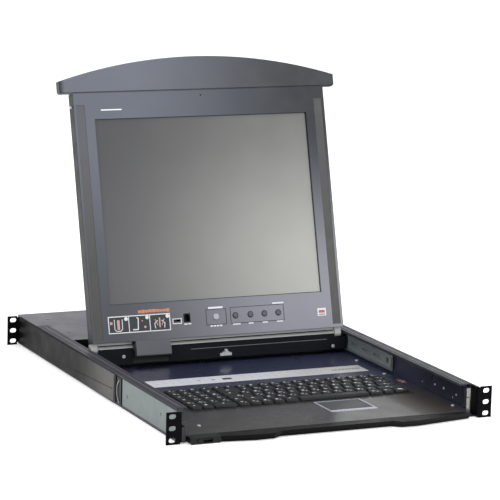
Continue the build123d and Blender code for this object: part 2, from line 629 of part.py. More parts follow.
def lcd_bezel():
    shell = block(-LCD_HALF, LCD_HALF, LCD_BOTTOM, LCD_STEP, -15.4, 0)
    shell -= block(-LCD_HALF + 1.8, LCD_HALF - 1.8, LCD_BOTTOM + 1.8, LCD_STEP - 1.8, -16, -2.2)
    shell -= block(-SCREEN_HALF, SCREEN_HALF, 0, SCREEN_H, -5, 1)
    for side in SIDES:
        shell -= side_block(side, (STRIP_IN, STRIP_OUT), -48.8, 290.5, -1.4, 1)
    shell -= big_frame_cut(-20.8, 11.4, -38.0, -15.0)
    shell -= big_frame_cut(17.9, 104.3, -38.0, -14.0)
    shell -= rod((BIG_BUTTON_X, BUTTON_S, -5), 4.8, 6, (0, 0, 1))
    for x in MENU_X:
        shell -= rod((x, BUTTON_S, -5), 3.8, 6, (0, 0, 1))
    shell -= block(JACK_X - 5.4, JACK_X + 5.4, BUTTON_S - 5.4, BUTTON_S + 7.6, -5, 1)
    shell -= block(SWITCH_X - 5.0, SWITCH_X + 5.0, BUTTON_S - 3.6, BUTTON_S + 0.0, -5, 1)
    shell -= rod((0, 300.1, -3), 1.2, 4, (0, 0, 1))
    return on_lcd(shell)


def lcd_back_cover():
    """Rear shell with a stepped rim, ribs pressed into it and vent slots."""
    cover = block(-LCD_HALF, LCD_HALF, LCD_BOTTOM, LCD_STEP, -LCD_T, -15.5)
    cover = chamfer(cover.edges().group_by(Axis.Z)[0], 2.0)
    cover -= block(-LCD_HALF + 2, LCD_HALF - 2, LCD_BOTTOM + 2, LCD_STEP - 2, -LCD_T + 1.6, -15)
    for i in range(12):
        x = -77 + i * 14
        cover -= block(x - 1.5, x + 1.5, -34, -10, -LCD_T - 1, -LCD_T + 2)
        cover -= block(x - 1.5, x + 1.5, 262, 286, -LCD_T - 1, -LCD_T + 2)
    for side in SIDES:
        cover -= side_block(side, (120, 121.2), 20, 250, -LCD_T - 1, -LCD_T + 0.5)
    return on_lcd(cover)


def lcd_panel():
    """Flat panel module: glass face, metal frame and back."""
    panel = block(-176.5, 176.5, -6.5, 276.0, -13.6, -2.4)
    panel -= block(-170, 170, -1.5, 271.0, -2.9, -2)
    return on_lcd(panel)


def control_board():
    """Board behind the buttons with its key switches."""
    board = block(-85, 115, -44, -9, -12.4, -11.0)
    for x in MENU_X + (BIG_BUTTON_X,):
        board += block(x - 2.5, x + 2.5, BUTTON_S - 2.5, BUTTON_S + 2.5, -11.0, -7.0)
    return on_lcd(board)


def lcd_side_rails():
    """Strips inlaid in the bezel and the locking pins at the module's edges."""
    pieces = []
    for side in SIDES:
        pieces.append(on_lcd(side_block(side, (STRIP_IN + 0.1, STRIP_OUT - 0.1), -48.7, 290.4, -1.4, -0.4)))
        pieces.append(on_lcd(rod((side * LCD_HALF, 288.5, -8.0), 1.8, 3.2, (side, 0, 0))))
    return group(pieces)


def handle_outline(inset=0.0):
    half = HANDLE_HALF - inset
    peak = HANDLE_PEAK - inset
    end = peak - (HANDLE_R - math.sqrt(HANDLE_R**2 - half**2))
    base = LCD_STEP + 0.2 + inset
    arc = ThreePointArc((-half, end), (0, peak), (half, end))
    sides = Polyline((half, end), (half, base), (-half, base), (-half, end))
    face = make_face(Wire([arc] + list(sides.edges())))
    return fillet(face.vertices().group_by(Axis.Y)[0], 4.0)


def lcd_handle():
    """Arched grip across the top, with a shallow panel sunk into its back."""
    arch = extrude(Plane.XY.offset(-HANDLE_END_T) * handle_outline(), amount=HANDLE_END_T + 0.4)
    arch = fillet(arch.edges().group_by(Axis.Z)[-1], 2.0)
    arch -= extrude(Plane.XY.offset(-HANDLE_END_T - 1) * handle_outline(5.0), amount=2.2)
    arch -= block(-HANDLE_HALF - 1, HANDLE_HALF + 1, LCD_STEP, LCD_STEP + 2.2, -2.8, 1)
    return on_lcd(arch)


def hinge_tab():
    """Cable cover that drops past the hinge, with its barrel."""
    tab = block(TAB_X0, TAB_X1, TAB_END, LCD_BOTTOM - 0.1, -8.0, 0)
    tab = fillet(tab.edges().filter_by(Axis.X).sort_by(Axis.Y)[:2], 2.0)
    tab += rod((TAB_X0, HINGE_S, HINGE_W), BAR_R, TAB_X1 - TAB_X0, (1, 0, 0))
    tab += block(TAB_X0, TAB_X1, HINGE_S - 3.4, HINGE_S + 3.4, HINGE_W + 1, -7)
    tab += block(TAB_X0 + 4, TAB_X1 - 4, HINGE_S + 2, LCD_BOTTOM - 0.1, HINGE_W - 3, HINGE_W + 6)
    tab -= rod((TAB_X0 - 1, HINGE_S, HINGE_W), PIN_R + RUN_GAP, 60, (1, 0, 0))
    return on_lcd(tab)


def hinge_knuckles():
    """Steel knuckles at both ends of the hinge and the leaf strips between them."""
    knuckles = []
    for side in SIDES:
        lane = (189.2, 199.4)
        start = min(side * lane[0], side * lane[1])
        barrel = rod((start, HINGE_S, HINGE_W), BAR_R, lane[1] - lane[0], (1, 0, 0))
        barrel += side_block(side, lane, HINGE_S, LCD_BOTTOM - 0.1, HINGE_W - 3.6, HINGE_W + 4.6)
        barrel -= rod((start - 1, HINGE_S, HINGE_W), PIN_R + RUN_GAP, 20, (1, 0, 0))
        knuckles.append(barrel)
    for x0, x1 in ((-188.0, GAP_X0), (GAP_X1, 188.0)):
        knuckles.append(block(x0, x1, HINGE_S + 5.8, LCD_BOTTOM - 0.1, HINGE_W - 0.8, HINGE_W + 3.0))
    return group([on_lcd(knuckle) for knuckle in knuckles])


def console_jack():
    """Socket in the bezel for a service cable."""
    shell = block(JACK_X - 5.2, JACK_X + 5.2, BUTTON_S - 5.2, BUTTON_S + 7.4, -10.8, -0.3)
    shell -= block(JACK_X - 4.2, JACK_X + 4.2, BUTTON_S - 4.0, BUTTON_S + 4.6, -8.4, 1)
    shell -= block(JACK_X - 2.2, JACK_X + 2.2, BUTTON_S + 4.6, BUTTON_S + 6.4, -8.4, 1)
    return on_lcd(shell)


def round_button(x, radius):
    cap = rod((x, BUTTON_S, -6.0), radius, 7.2, (0, 0, 1))
    cap = fillet(cap.edges().sort_by(Axis.Z)[-1], 0.7)
    return on_lcd(cap)


def slide_switch():
    knob = block(SWITCH_X - 4.6, SWITCH_X - 1.4, BUTTON_S - 3.2, BUTTON_S - 0.4, -5.5, 0.9)
    return on_lcd(knob)


# ---- all nodes ----------------------------------------------------------------
def build_chassis():
    keep("base_pan", base_pan())
    keep("rear_cover", rear_cover())
    keep("rear_panel", rear_panel())
    keep("front_ears", group([front_ear(side) for side in SIDES]))
    keep("side_channels", group([side_channel(side) for side in SIDES]))
    keep("lcd_rail_channels", group([lcd_rail_channel(side) for side in SIDES]))
    for side, word in ((-1, "left"), (1, "right")):
        keep("rear_bracket_" + word, rear_bracket(side))
    keep("side_plates", side_plates())
    keep("tray_outer_members", fixed_slide_members())
    keep("bracket_retainers", bracket_retainers())
    keep("retainer_springs", retainer_springs())
    keep("main_board", main_board())
    keep("power_supply", power_supply())
    keep("rear_ports", group(computer_jacks(), console_ports()))
    keep("power_inlet", power_inlet())
    keep("power_switch", power_switch())
    keep("chassis_screws", chassis_screws())


def build_tray():
    keep("tray_pan", tray_pan())
    keep("tray_deck", tray_deck())
    keep("front_lip", front_lip())
    keep("keyboard_frame", keyboard_frame())
    keep("keyboard_board", keyboard_board())
    for row, word in enumerate(ROW_NAMES):
        keep("keys_" + word + "_row", key_row(row))
    keep("touchpad", touchpad())
    keep("touchpad_rim", touchpad_rim())
    for index, word in enumerate(("left", "right")):
        keep("touchpad_button_" + word, touchpad_button(index))
    keep("label_strip", label_strip())
    keep("mouse_port_housing", mouse_port_housing())
    keep("mouse_socket", mouse_socket())
    keep("tray_inner_members", tray_inner_members())
    keep("tray_middle_members", tray_middle_members())
    keep("tray_screws", tray_screws())


def build_display():
    keep("carriage_frame", carriage_frame())
    keep("hinge_bars", hinge_bars())
    keep("hinge_pin", hinge_pin())
    keep("lcd_inner_members", lcd_inner_members())
    keep("lcd_middle_members", lcd_middle_members())
    keep("lid_catch_and_screws", group(lid_catch(), carriage_screws()))
    keep("lcd_bezel", lcd_bezel())
    keep("lcd_back_cover", lcd_back_cover())
    keep("lcd_panel", lcd_panel())
    keep("control_board", control_board())
    keep("lcd_side_rails", lcd_side_rails())
    keep("lcd_handle", lcd_handle())
    keep("hinge_tab", hinge_tab())
    keep("hinge_knuckles", hinge_knuckles())
    keep("console_jack", console_jack())
    keep("slide_switch", slide_switch())
    keep("big_button", round_button(BIG_BUTTON_X, 4.5))
    for number, x in enumerate(MENU_X, start=1):
        keep("menu_button_" + str(number), round_button(x, 3.5))


build_chassis()
build_tray()
build_display()
os.makedirs("parts", exist_ok=True)
for old in os.listdir("parts"):
    os.remove(os.path.join("parts", old))
for name, shape in NODES.items():
    export_step(shape, os.path.join("parts", name + ".step"))
print(len(NODES), "nodes")
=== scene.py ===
import json
import math
import random

import bmesh
import bpy
from mathutils import Matrix, Vector


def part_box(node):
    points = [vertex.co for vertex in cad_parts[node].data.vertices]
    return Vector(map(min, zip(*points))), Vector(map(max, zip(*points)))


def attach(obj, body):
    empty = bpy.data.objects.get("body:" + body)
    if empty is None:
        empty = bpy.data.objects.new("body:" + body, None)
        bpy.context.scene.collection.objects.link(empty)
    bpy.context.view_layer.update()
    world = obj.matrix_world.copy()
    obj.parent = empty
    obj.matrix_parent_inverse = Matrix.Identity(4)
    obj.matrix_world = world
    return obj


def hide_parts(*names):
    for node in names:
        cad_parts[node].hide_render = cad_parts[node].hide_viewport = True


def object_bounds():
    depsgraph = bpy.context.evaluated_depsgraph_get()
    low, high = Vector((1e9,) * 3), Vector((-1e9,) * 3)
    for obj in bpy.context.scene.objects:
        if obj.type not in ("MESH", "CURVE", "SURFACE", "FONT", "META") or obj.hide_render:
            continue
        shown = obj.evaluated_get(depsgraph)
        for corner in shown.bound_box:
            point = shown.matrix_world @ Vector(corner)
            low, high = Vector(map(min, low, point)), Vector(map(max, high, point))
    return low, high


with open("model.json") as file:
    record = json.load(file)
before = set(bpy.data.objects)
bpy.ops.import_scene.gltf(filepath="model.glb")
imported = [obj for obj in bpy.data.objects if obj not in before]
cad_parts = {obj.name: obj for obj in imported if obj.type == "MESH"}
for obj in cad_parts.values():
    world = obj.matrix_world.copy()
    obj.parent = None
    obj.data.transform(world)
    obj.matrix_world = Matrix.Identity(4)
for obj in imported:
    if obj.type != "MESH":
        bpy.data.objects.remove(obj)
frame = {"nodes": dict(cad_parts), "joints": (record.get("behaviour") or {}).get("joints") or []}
CAD_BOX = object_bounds()
NODES = frame["nodes"]
MM = 0.001
WHITE = (1, 1, 1, 1)
rng = random.Random(7)

# ---- the view -----------------------------------------------------------------
CAMERA_AZIMUTH, CAMERA_ELEVATION, CAMERA_ROLL = -24.604, 10.522, 1.517
CAMERA_DISTANCE = 3.6344
CAMERA_TARGET = Vector((-0.03728, 0.2, 0.18964))
LENS = 189.305


# ---- the display's own plane: x across, s up the screen, w out of it ------------
def joint(name):
    return next(j for j in frame["joints"] if j["name"] == name)


HINGE = Vector(joint("display_hinge")["pos_m"])
INWARD = Vector(joint("big_button_press")["axis"]).normalized()
OUT = -INWARD
UP = OUT.cross(Vector((1, 0, 0)))
HINGE_S, HINGE_W = -62.5, -14.5          # the hinge axis in that plane, mm
SCREEN_ORIGIN = HINGE - UP * (HINGE_S * MM) - OUT * (HINGE_W * MM)
DISPLAY = Matrix.Translation(SCREEN_ORIGIN) @ Matrix((
    (1, UP.x, OUT.x, 0),
    (0, UP.y, OUT.y, 0),
    (0, UP.z, OUT.z, 0),
    (0, 0, 0, 1)))
KEY_ROWS = ("bottom", "lower", "home", "upper", "number", "function")


# ---- colours ------------------------------------------------------------------
def linear(hex_code):
    """Linear colour of an sRGB hex code."""
    channels = [int(hex_code[i:i + 2], 16) / 255 for i in (0, 2, 4)]
    return [c / 12.92 if c <= 0.04045 else ((c + 0.055) / 1.055) ** 2.4 for c in channels]


def scaled(colour, factor):
    return [min(1.0, c * factor) for c in colour]


# ---- materials ----------------------------------------------------------------
NOISE_MIDDLE = (0.3, 0.7)       # the part of a noise's range that most of it falls in
COAT_ROUGHNESS = 0.1
ZINC_METALLIC = 0.6
MOULD_GRAIN = 0.45              # mm
MOULD_GRAIN_DEPTH = 0.05        # mm


class Surface:
    """A material with its Principled shader and helpers that wire procedural nodes to it."""

    def __init__(self, name, rough, metal=0.0, coat=0.0, specular=0.5):
        self.material = bpy.data.materials.new(name)
        self.material.use_nodes = True
        self.tree = self.material.node_tree
        self.shader = self.tree.nodes["Principled BSDF"]
        self.shader.inputs["Roughness"].default_value = rough
        self.shader.inputs["Metallic"].default_value = metal
        self.shader.inputs["Coat Weight"].default_value = coat
        self.shader.inputs["Coat Roughness"].default_value = COAT_ROUGHNESS
        self.shader.inputs["Specular IOR Level"].default_value = specular
        self.coords = self.tree.nodes.new("ShaderNodeTexCoord").outputs["Object"]

    def node(self, kind, **values):
        """A new shader node; each value sets the input or else the property of that name."""
        made = self.tree.nodes.new(kind)
        for key, value in values.items():
            if key in made.inputs:
                made.inputs[key].default_value = value
            else:
                setattr(made, key, value)
        return made

    def link(self, a, b):
        self.tree.links.new(a, b)

    def stretched(self, stretch):
        """Object coordinates scaled per axis, so that a noise is drawn out into streaks."""
        mapping = self.node("ShaderNodeMapping")
        mapping.inputs["Scale"].default_value = stretch
        self.link(self.coords, mapping.inputs["Vector"])
        return mapping.outputs["Vector"]

    def noise(self, scale, detail, rough=0.55, stretch=None):
        made = self.node("ShaderNodeTexNoise", Scale=scale, Detail=detail, Roughness=rough)
        self.link(self.stretched(stretch) if stretch else self.coords, made.inputs["Vector"])
        return made.outputs["Fac"]

    def cells(self, scale):
        made = self.node("ShaderNodeTexVoronoi", Scale=scale)
        self.link(self.coords, made.inputs["Vector"])
        return made

    def mapped(self, value, sources, targets, **settings):
        """Map a value from the range of sources to the range of targets."""
        made = self.node("ShaderNodeMapRange", **settings)
        for socket, number in zip(("From Min", "From Max", "To Min", "To Max"), (*sources, *targets)):
            made.inputs[socket].default_value = number
        self.link(value, made.inputs["Value"])
        return made.outputs["Result"]

    def spread(self, value, low, high):
        """Map the middle of a noise's range to low..high."""
        return self.mapped(value, NOISE_MIDDLE, (low, high))

    def ramp(self, value, stops):
        made = self.node("ShaderNodeValToRGB")
        elements = made.color_ramp.elements
        while len(elements) < len(stops):
            elements.new(0.5)
        for element, (place, colour) in zip(elements, stops):
            element.position = place
            element.color = (*colour, 1)
        self.link(value, made.inputs["Fac"])
        return made.outputs["Color"]

    def mix(self, amount, a, b):
        """Blend of two colours; each argument is a socket or a constant."""
        made = self.node("ShaderNodeMix", data_type="RGBA")
        for socket, value in (("Factor", amount), ("A", a), ("B", b)):
            target = next(i for i in made.inputs if i.name == socket and i.type in (
                ("VALUE",) if socket == "Factor" else ("RGBA",)))
            if isinstance(value, (int, float)):
                target.default_value = value
            elif isinstance(value, (list, tuple)):
                target.default_value = (*value, 1)
            else:
                self.link(value, target)
        return next(o for o in made.outputs if o.type == "RGBA")

    def across(self, axis, start, stop):
        """0 at start and 1 at stop, in millimetres along a frame axis, eased at both ends."""
        parts = self.node("ShaderNodeSeparateXYZ")
        self.link(self.coords, parts.inputs["Vector"])
        return self.mapped(parts.outputs[axis], (start * MM, stop * MM), (0, 1),
                           interpolation_type="SMOOTHSTEP")

    def colour(self, socket):
        self.link(socket, self.shader.inputs["Base Color"])

    def roughness(self, socket):
        self.link(socket, self.shader.inputs["Roughness"])

    def bump(self, height, depth_mm, strength):
        made = self.node("ShaderNodeBump")
        made.inputs["Strength"].default_value = strength
        made.inputs["Distance"].default_value = depth_mm * MM
        self.link(height, made.inputs["Height"])
        self.link(made.outputs["Normal"], self.shader.inputs["Normal"])
        return self


def toned(s, vary, cloud, shades, factor):
    """Cloudy tone of the first shade, turning to the next ones along the frame's axes.

    shades is a hex code, or a hex code followed by (axis, start, stop, shades) for each turn."""
    if isinstance(shades, str):
        base = scaled(linear(shades), factor)
        return s.ramp(cloud, tuple(zip(NOISE_MIDDLE, (scaled(base, 1 - vary), scaled(base, 1 + vary)))))
    first, *turns = shades
    tone = toned(s, vary, cloud, first, factor)
    for axis, start, stop, other in turns:
        tone = s.mix(s.across(axis, start, stop), tone, toned(s, vary, cloud, other, factor))
    return tone


def painted(name, shades, rough, vary=0.12, grain_mm=0.9, specular=0.5):
    """Sprayed paint: slight orange peel, cloudy tone and uneven gloss."""
    s = Surface(name, rough, specular=specular)
    cloud = s.noise(9, 3)
    fine = s.noise(1000 / grain_mm, 2)
    s.colour(s.mix(s.spread(fine, 0.0, 0.16), toned(s, vary, cloud, shades, 1),
                   toned(s, vary, cloud, shades, 0.6)))
    s.roughness(s.spread(s.noise(35, 4), rough - 0.05, rough + 0.07))
    return s.bump(fine, 0.04, 0.35).material


def moulded(name, shades, rough, vary=0.1, specular=0.5):
    """Moulded plastic with a spark-eroded grain."""
    s = Surface(name, rough, specular=specular)
    cloud = s.noise(14, 3)
    grain = s.noise(1000 / MOULD_GRAIN, 3, 0.6)
    s.colour(s.mix(s.spread(grain, 0.0, 0.22), toned(s, vary, cloud, shades, 1),
                   toned(s, vary, cloud, shades, 0.55)))
    s.roughness(s.spread(s.noise(60, 4), rough - 0.06, rough + 0.06))
    return s.bump(grain, MOULD_GRAIN_DEPTH, 0.5).material


def glazed(name, shades, rough, coat, depth_mm=0.004):
    """Smooth plastic or glass: broad tone changes, wiped smudges in the gloss, hardly any grain."""
    s = Surface(name, rough, 0.0, coat)
    cloud = s.noise(6, 3)
    s.colour(s.mix(s.spread(s.noise(38, 5, 0.7), 0.0, 0.1), toned(s, 0.03, cloud, shades, 1),
                   toned(s, 0.03, cloud, shades, 0.8)))
    s.roughness(s.spread(s.noise(22, 6, 0.65), rough - 0.06, rough + 0.08))
    if depth_mm:
        s.bump(s.noise(1600, 2), depth_mm, 0.15)
    return s.material


def brushed(name, hex_code, scales, rough, contrast, metal=1.0):
    """Rolled or brushed metal: streaks drawn out along the axis with the smallest of the scales."""
    s = Surface(name, rough, metal)
    base = linear(hex_code)
    streaks = s.noise(420, 3, 0.6, scales)
    smudge = s.noise(16, 4)
    ends = scaled(base, 1 - contrast), scaled(base, 1 + contrast)
    lines = s.ramp(streaks, tuple(zip(NOISE_MIDDLE, ends)))
    s.colour(s.mix(s.spread(smudge, 0.0, 0.35), lines, scaled(base, 0.72)))
    s.roughness(s.spread(streaks, rough - 0.08, rough + 0.12))
    return s.bump(streaks, 0.02, 0.4).material


def zinc_plate(name, hex_code, rough=0.42):
    """Zinc-plated sheet: very faint crystals over a cloudy satin grey."""
    s = Surface(name, rough, ZINC_METALLIC)
    base = linear(hex_code)
    crystals = s.cells(420)
    crystals_tone = s.ramp(crystals.outputs["Color"], ((0.2, scaled(base, 0.96)), (0.8, scaled(base, 1.04))))
    s.colour(s.mix(s.spread(s.noise(7, 3), 0.0, 0.3), crystals_tone, scaled(base, 0.84)))
    s.roughness(s.spread(s.noise(45, 4), rough - 0.05, rough + 0.06))
    return s.bump(s.noise(900, 2), 0.015, 0.25).material


def printed(name, hex_code, rough=0.45):
    """Screen-printed ink: flat colour with slightly uneven cover."""
    s = Surface(name, rough)
    base = linear(hex_code)
    s.colour(s.ramp(s.noise(700, 3), ((0.25, scaled(base, 0.82)), (0.6, base))))
    return s.bump(s.noise(2200, 2), 0.01, 0.3).material


def circuit(name):
    """Green solder mask with tracks under it."""
    s = Surface(name, 0.35, 0.0, 0.4)
    tracks = s.cells(260)
    tracks.distance = "MANHATTAN"
    green = s.ramp(tracks.outputs["Distance"], ((0.1, linear("0c3a22")), (0.5, linear("14532f"))))
    s.colour(s.mix(s.spread(s.noise(50, 2), 0, 0.5), green, linear("0a2c1a")))
    return s.bump(tracks.outputs["Distance"], 0.03, 0.3).material


# shades: a hex code, or a code and its turns along the frame's axes in mm
# painted shade and highlight on the bezel face: darker at the bottom left and the top right, lighter at the
# bottom right, as the light falls
FACE_PAINTED_SHADE = (("484a51", ("X", -180, 130, "8c8d96")), ("Z", 60, 330, ("5f636d", ("X", -130, 190, "23262c"))))
SLATE_PAINTED_SHADE = ("0c0d10", ("X", -199.6, -198.8, FACE_PAINTED_SHADE), ("X", 198.8, 199.6, "121317"))
# painted shade and highlight on the handle arch: dark at both ends where shade falls, lighter at the left,
# darkening towards the right
ARCH_PAINTED_SHADE = ("1e2025", ("X", -218.5, -210, "5f636d"), ("X", -130, 170, "1d2026"), ("X", 212, 218.5, "121316"))
# painted reflection on the screen: dark grey at the top left turning to light warm grey at the bottom right,
# in place of the surroundings' reflection
SCREEN_PAINTED_REFLECTION = (("4e4e51", ("X", -180, 180, "a8a8a2")), ("Z", 100, 345, ("3f3f41", ("X", -170, 190, "646462"))))
# painted shade on the display's side strips: lighter at the top left, darker at the top right, as the light
# falls
EDGING_PAINTED_SHADE = ("3f3f3c", ("Z", 60, 330, ("4e4f53", ("X", -100, 100, "3a3b3a"))))
# the bright ends are the locking pins' own metal
SIDE_STRIP_PAINTED_SHADE = ("d4d5d8", ("X", -200.4, -199.8, EDGING_PAINTED_SHADE), ("X", 199.8, 200.4, "d4d5d8"))
# painted shade: the rear cover's folded front wall and the lid's front edge are near black where shade falls
# under the hinge tab; the lid grows lighter towards the rear
COVER_PAINTED_SHADE = ("0a0a0c", ("Y", 444.8, 446.5, ("4b4b52", ("Y", 450, 640, "5c5c63"))))
# painted reflection: the satin black rear brackets turn beige grey towards the front, in place of a light's
# reflection
BRACKET_PAINTED_REFLECTION = ("605f5d", ("Y", 240, 380, "1b1b1a"), ("Y", 480, 600, "040405"))
PALM_REST = ("171615", ("X", 30, 190, "322d28"), ("X", 192, 214, "2e2f3b"))
REAR_DECK = ("2c2b30", ("X", -205, -140, ("282c40", ("X", -100, 120, "2f3348"))))

MATERIALS = {
    "chassis": painted("chassis_grey", ("3d3b43", ("X", -100, 100, "3e3e43")), 0.45, specular=0.2),
    # the rear cover with painted shade at its front fold
    "cover": painted("cover_grey_painted_shade", COVER_PAINTED_SHADE, 0.4),
    "black": painted("black_coat", "08080a", 0.45, 0.2, specular=0.04),
    # the rear brackets with a painted reflection
    "bracket": painted("bracket_coat_painted_reflection", BRACKET_PAINTED_REFLECTION, 0.45, 0.15, specular=0.07),
    "channel": painted("channel_coat", ("1f2230", ("Y", 30, 240, "2c3042")), 0.36, 0.2),
    "wall": painted("carriage_coat", "1d1f23", 0.45, 0.15, specular=0.06),
    "zinc": zinc_plate("zinc_sheet", "717978"),
    "tray_steel": painted("tray_black", "0d0e12", 0.45),
    "deck": glazed("deck_gloss", (PALM_REST, ("Y", 118, 250, REAR_DECK)), 0.3, 0.25),
    "lip": moulded("lip_black", ("060607", ("X", -60, 190, "1d1d1d")), 0.36, specular=0.08),
    "frame": moulded("frame_black", "1b1a1d", 0.4, specular=0.35),
    "plastic": moulded("black_plastic", "08090a", 0.42, specular=0.25),
    "key": moulded("key_plastic", "19191b", 0.46, specular=0.3),
    "button": moulded("button_grey", "50535c", 0.4),
    "pale_button": moulded("button_pale", "b4b5ba", 0.35),
    "pad": glazed("pad_surface", "2b2c30", 0.4, 0.0, 0.01),
    "rim": brushed("bright_rim", "b4b5bd", (1, 1, 1), 0.3, 0.08, 0.3),
    "foil": painted("label_foil", ("cbccd2", ("X", -60, 190, "b4b3b1")), 0.4, 0.04, 0.6),
    # the slate bezel with painted shade and highlight across its face
    "slate": painted("slate_paint", SLATE_PAINTED_SHADE, 0.42, 0.04, specular=0.35),
    # the handle arch with painted shade and highlight
    "arch": painted("arch_paint_painted_shade", ARCH_PAINTED_SHADE, 0.4, 0.04),
    "tab": painted("tab_paint", "50535a", 0.4, 0.05),
    "case_back": painted("case_black", "17181b", 0.45, 0.12, specular=0.25),
    # the side strips with painted shade
    "strip": moulded("strip_olive_painted_shade", SIDE_STRIP_PAINTED_SHADE, 0.4, 0.1),
    # the screen with a painted reflection
    "screen": glazed("screen_painted_reflection", SCREEN_PAINTED_REFLECTION, 0.34, 0.0, 0.0),
    "hinge": brushed("hinge_metal", "bfc0be", (0.02, 1, 1), 0.5, 0.12, 0.2),
    "slide": brushed("slide_steel", "8e9698", (1, 0.02, 1), 0.34, 0.14, 0.35),
    "cream": brushed("plated_end", "ebebe2", (1, 1, 0.05), 0.3, 0.08, 0.25),
    "screw": brushed("screw_steel", "8a8c90", (1, 1, 0.1), 0.3, 0.15),
    "catch": brushed("catch_steel", "cdced2", (1, 1, 0.1), 0.32, 0.12, 0.3),
    "connector": brushed("tinned_shell", "b5b6b2", (1, 1, 1), 0.25, 0.12),
    "circuit": circuit("solder_mask"),
    "case": zinc_plate("supply_case", "a5a7a8", 0.35),
    "white": printed("white_ink", "e6e7ea"),
    "orange": printed("orange_ink", "c9825c"),
    "red": printed("red_ink", "b5645c"),
    "dull_red": printed("worn_red", "6a4f4e"),
    "pink": printed("pink_ink", "c8a09c"),
    "dark_ink": printed("dark_ink", "23292c"),
    "faint_ink": printed("faint_ink", "a2a3a8"),
    "key_ink": printed("key_ink", "d2d3d4"),
    "seam": painted("seam_black", "0a0a0c", 0.6, specular=0.2),
    # painted highlight: a pale line in place of light catching an edge
    "edge": painted("edge_painted_highlight", "6f6f76", 0.4),
    "lamp": printed("lamp_lens", "a9adb6", 0.2),
}

NODE_MATERIALS = {
    "chassis": ["base_pan", "side_channels", "rear_panel"],
    "cover": ["rear_cover"],
    "black": ["front_ears"],
    "bracket": ["rear_bracket_left", "rear_bracket_right"],
    "channel": ["lcd_rail_channels"],
    "wall": ["carriage_frame"],
    "zinc": ["side_plates"],
    "slide": ["tray_middle_members", "lcd_inner_members", "lcd_middle_members", "retainer_springs"],
    "cream": ["tray_outer_members", "tray_inner_members"],
    "tray_steel": ["tray_pan"],
    "deck": ["tray_deck"],
    "lip": ["front_lip"],
    "frame": ["keyboard_frame"],
    "plastic": ["mouse_port_housing", "mouse_socket", "power_inlet", "power_switch", "bracket_retainers",
                "console_jack", "slide_switch"],
    "key": ["keys_%s_row" % w for w in KEY_ROWS],
    "button": ["menu_button_%d" % i for i in (1, 2, 3, 4)],
    "pale_button": ["big_button"],
    "pad": ["touchpad"],
    "rim": ["touchpad_rim", "touchpad_button_left", "touchpad_button_right"],
    "foil": ["label_strip"],
    "slate": ["lcd_bezel"],
    "arch": ["lcd_handle"],
    "tab": ["hinge_tab"],
    "case_back": ["lcd_back_cover"],
    "strip": ["lcd_side_rails"],
    "screen": ["lcd_panel"],
    "hinge": ["hinge_bars", "hinge_pin", "hinge_knuckles"],
    "screw": ["chassis_screws"],
    "catch": ["lid_catch_and_screws", "tray_screws"],
    "connector": ["rear_ports"],
    "circuit": ["main_board", "control_board", "keyboard_board"],
    "case": ["power_supply"],
}
# bevel widths, mm
SOFT_EDGES = {
    "hinge_tab": 0.8, "lcd_back_cover": 0.5, "front_lip": 0.6,
    "tray_deck": 0.4, "front_ears": 0.25, "rear_bracket_left": 0.3, "rear_bracket_right": 0.3,
    "side_channels": 0.3, "rear_cover": 0.3, "touchpad_rim": 0.3, "keyboard_frame": 0.25,
    "mouse_port_housing": 0.5, "side_plates": 0.25, "tray_pan": 0.25, "carriage_frame": 0.2,
}


def finish_nodes():
    """Give each CAD node its material, and a small bevel where its edges are in view."""
    for key, names in NODE_MATERIALS.items():
        for name in names:
            obj = NODES[name]
            obj.data.materials.clear()
            obj.data.materials.append(MATERIALS[key])
    for name, width in SOFT_EDGES.items():
        weld = NODES[name].modifiers.new("weld", "WELD")
        weld.merge_threshold = 0.002 * MM
        bevel = NODES[name].modifiers.new("soft_edges", "BEVEL")
        bevel.width = width * MM
        bevel.segments = 2
        bevel.limit_method = "ANGLE"
        bevel.angle_limit = math.radians(40)
        bevel.harden_normals = True


# ---- thin prints --------------------------------------------------------------
DISC_SIDES = 20
LEAST_MITRE = 0.4


def rect(x0, x1, y0, y1):
    return [(x0, y0), (x1, y0), (x1, y1), (x0, y1)]


def disc(x, y, rx, ry=None):
    ry = ry or rx
    turns = [math.tau * i / DISC_SIDES for i in range(DISC_SIDES)]
    return [(x + rx * math.cos(t), y + ry * math.sin(t)) for t in turns]


def stroke(points, width, closed=False):
    """Outlines of the pieces of a line of that width, mitred where it turns."""
    count = len(points)
    sides = []
    for i, point in enumerate(points):
        here = Vector(point)
        before = here - Vector(points[i - 1]) if closed or i else Vector(points[1]) - here
        after = Vector(points[(i + 1) % count]) - here if closed or i < count - 1 else before
        a, b = before.normalized(), after.normalized()
        normal = Vector((-a.y - b.y, a.x + b.x)).normalized()
        reach = width / 2 / max(LEAST_MITRE, normal.dot(Vector((-a.y, a.x))))
        sides.append((tuple(here + normal * reach), tuple(here - normal * reach)))
    last = count if closed else count - 1
    pieces = []
    for i in range(last):
        j = (i + 1) % count
        pieces.append([sides[i][1], sides[j][1], sides[j][0], sides[i][0]])
    return pieces


def prints(name, key, outlines, place, body, low=0.0, high=0.12):
    """Thin plates of one colour, riding on a body.

    The outlines are in the millimetres of the plane that place sets up, and the plates reach
    from low to high above it."""
    bm = bmesh.new()
    for outline in outlines:
        rings = [[bm.verts.new(place @ (Vector((x, y, h)) * MM)) for x, y in outline] for h in (low, high)]
        bm.faces.new(rings[1])
        bm.faces.new(rings[0][::-1])
        for i in range(len(outline)):
            j = (i + 1) % len(outline)
            bm.faces.new((rings[0][i], rings[0][j], rings[1][j], rings[1][i]))
    bmesh.ops.recalc_face_normals(bm, faces=bm.faces)
    mesh = bpy.data.meshes.new(name)
    bm.to_mesh(mesh)
    bm.free()
    mesh.materials.append(MATERIALS[key])
    obj = bpy.data.objects.new(name, mesh)
    bpy.context.scene.collection.objects.link(obj)
    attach(obj, body)


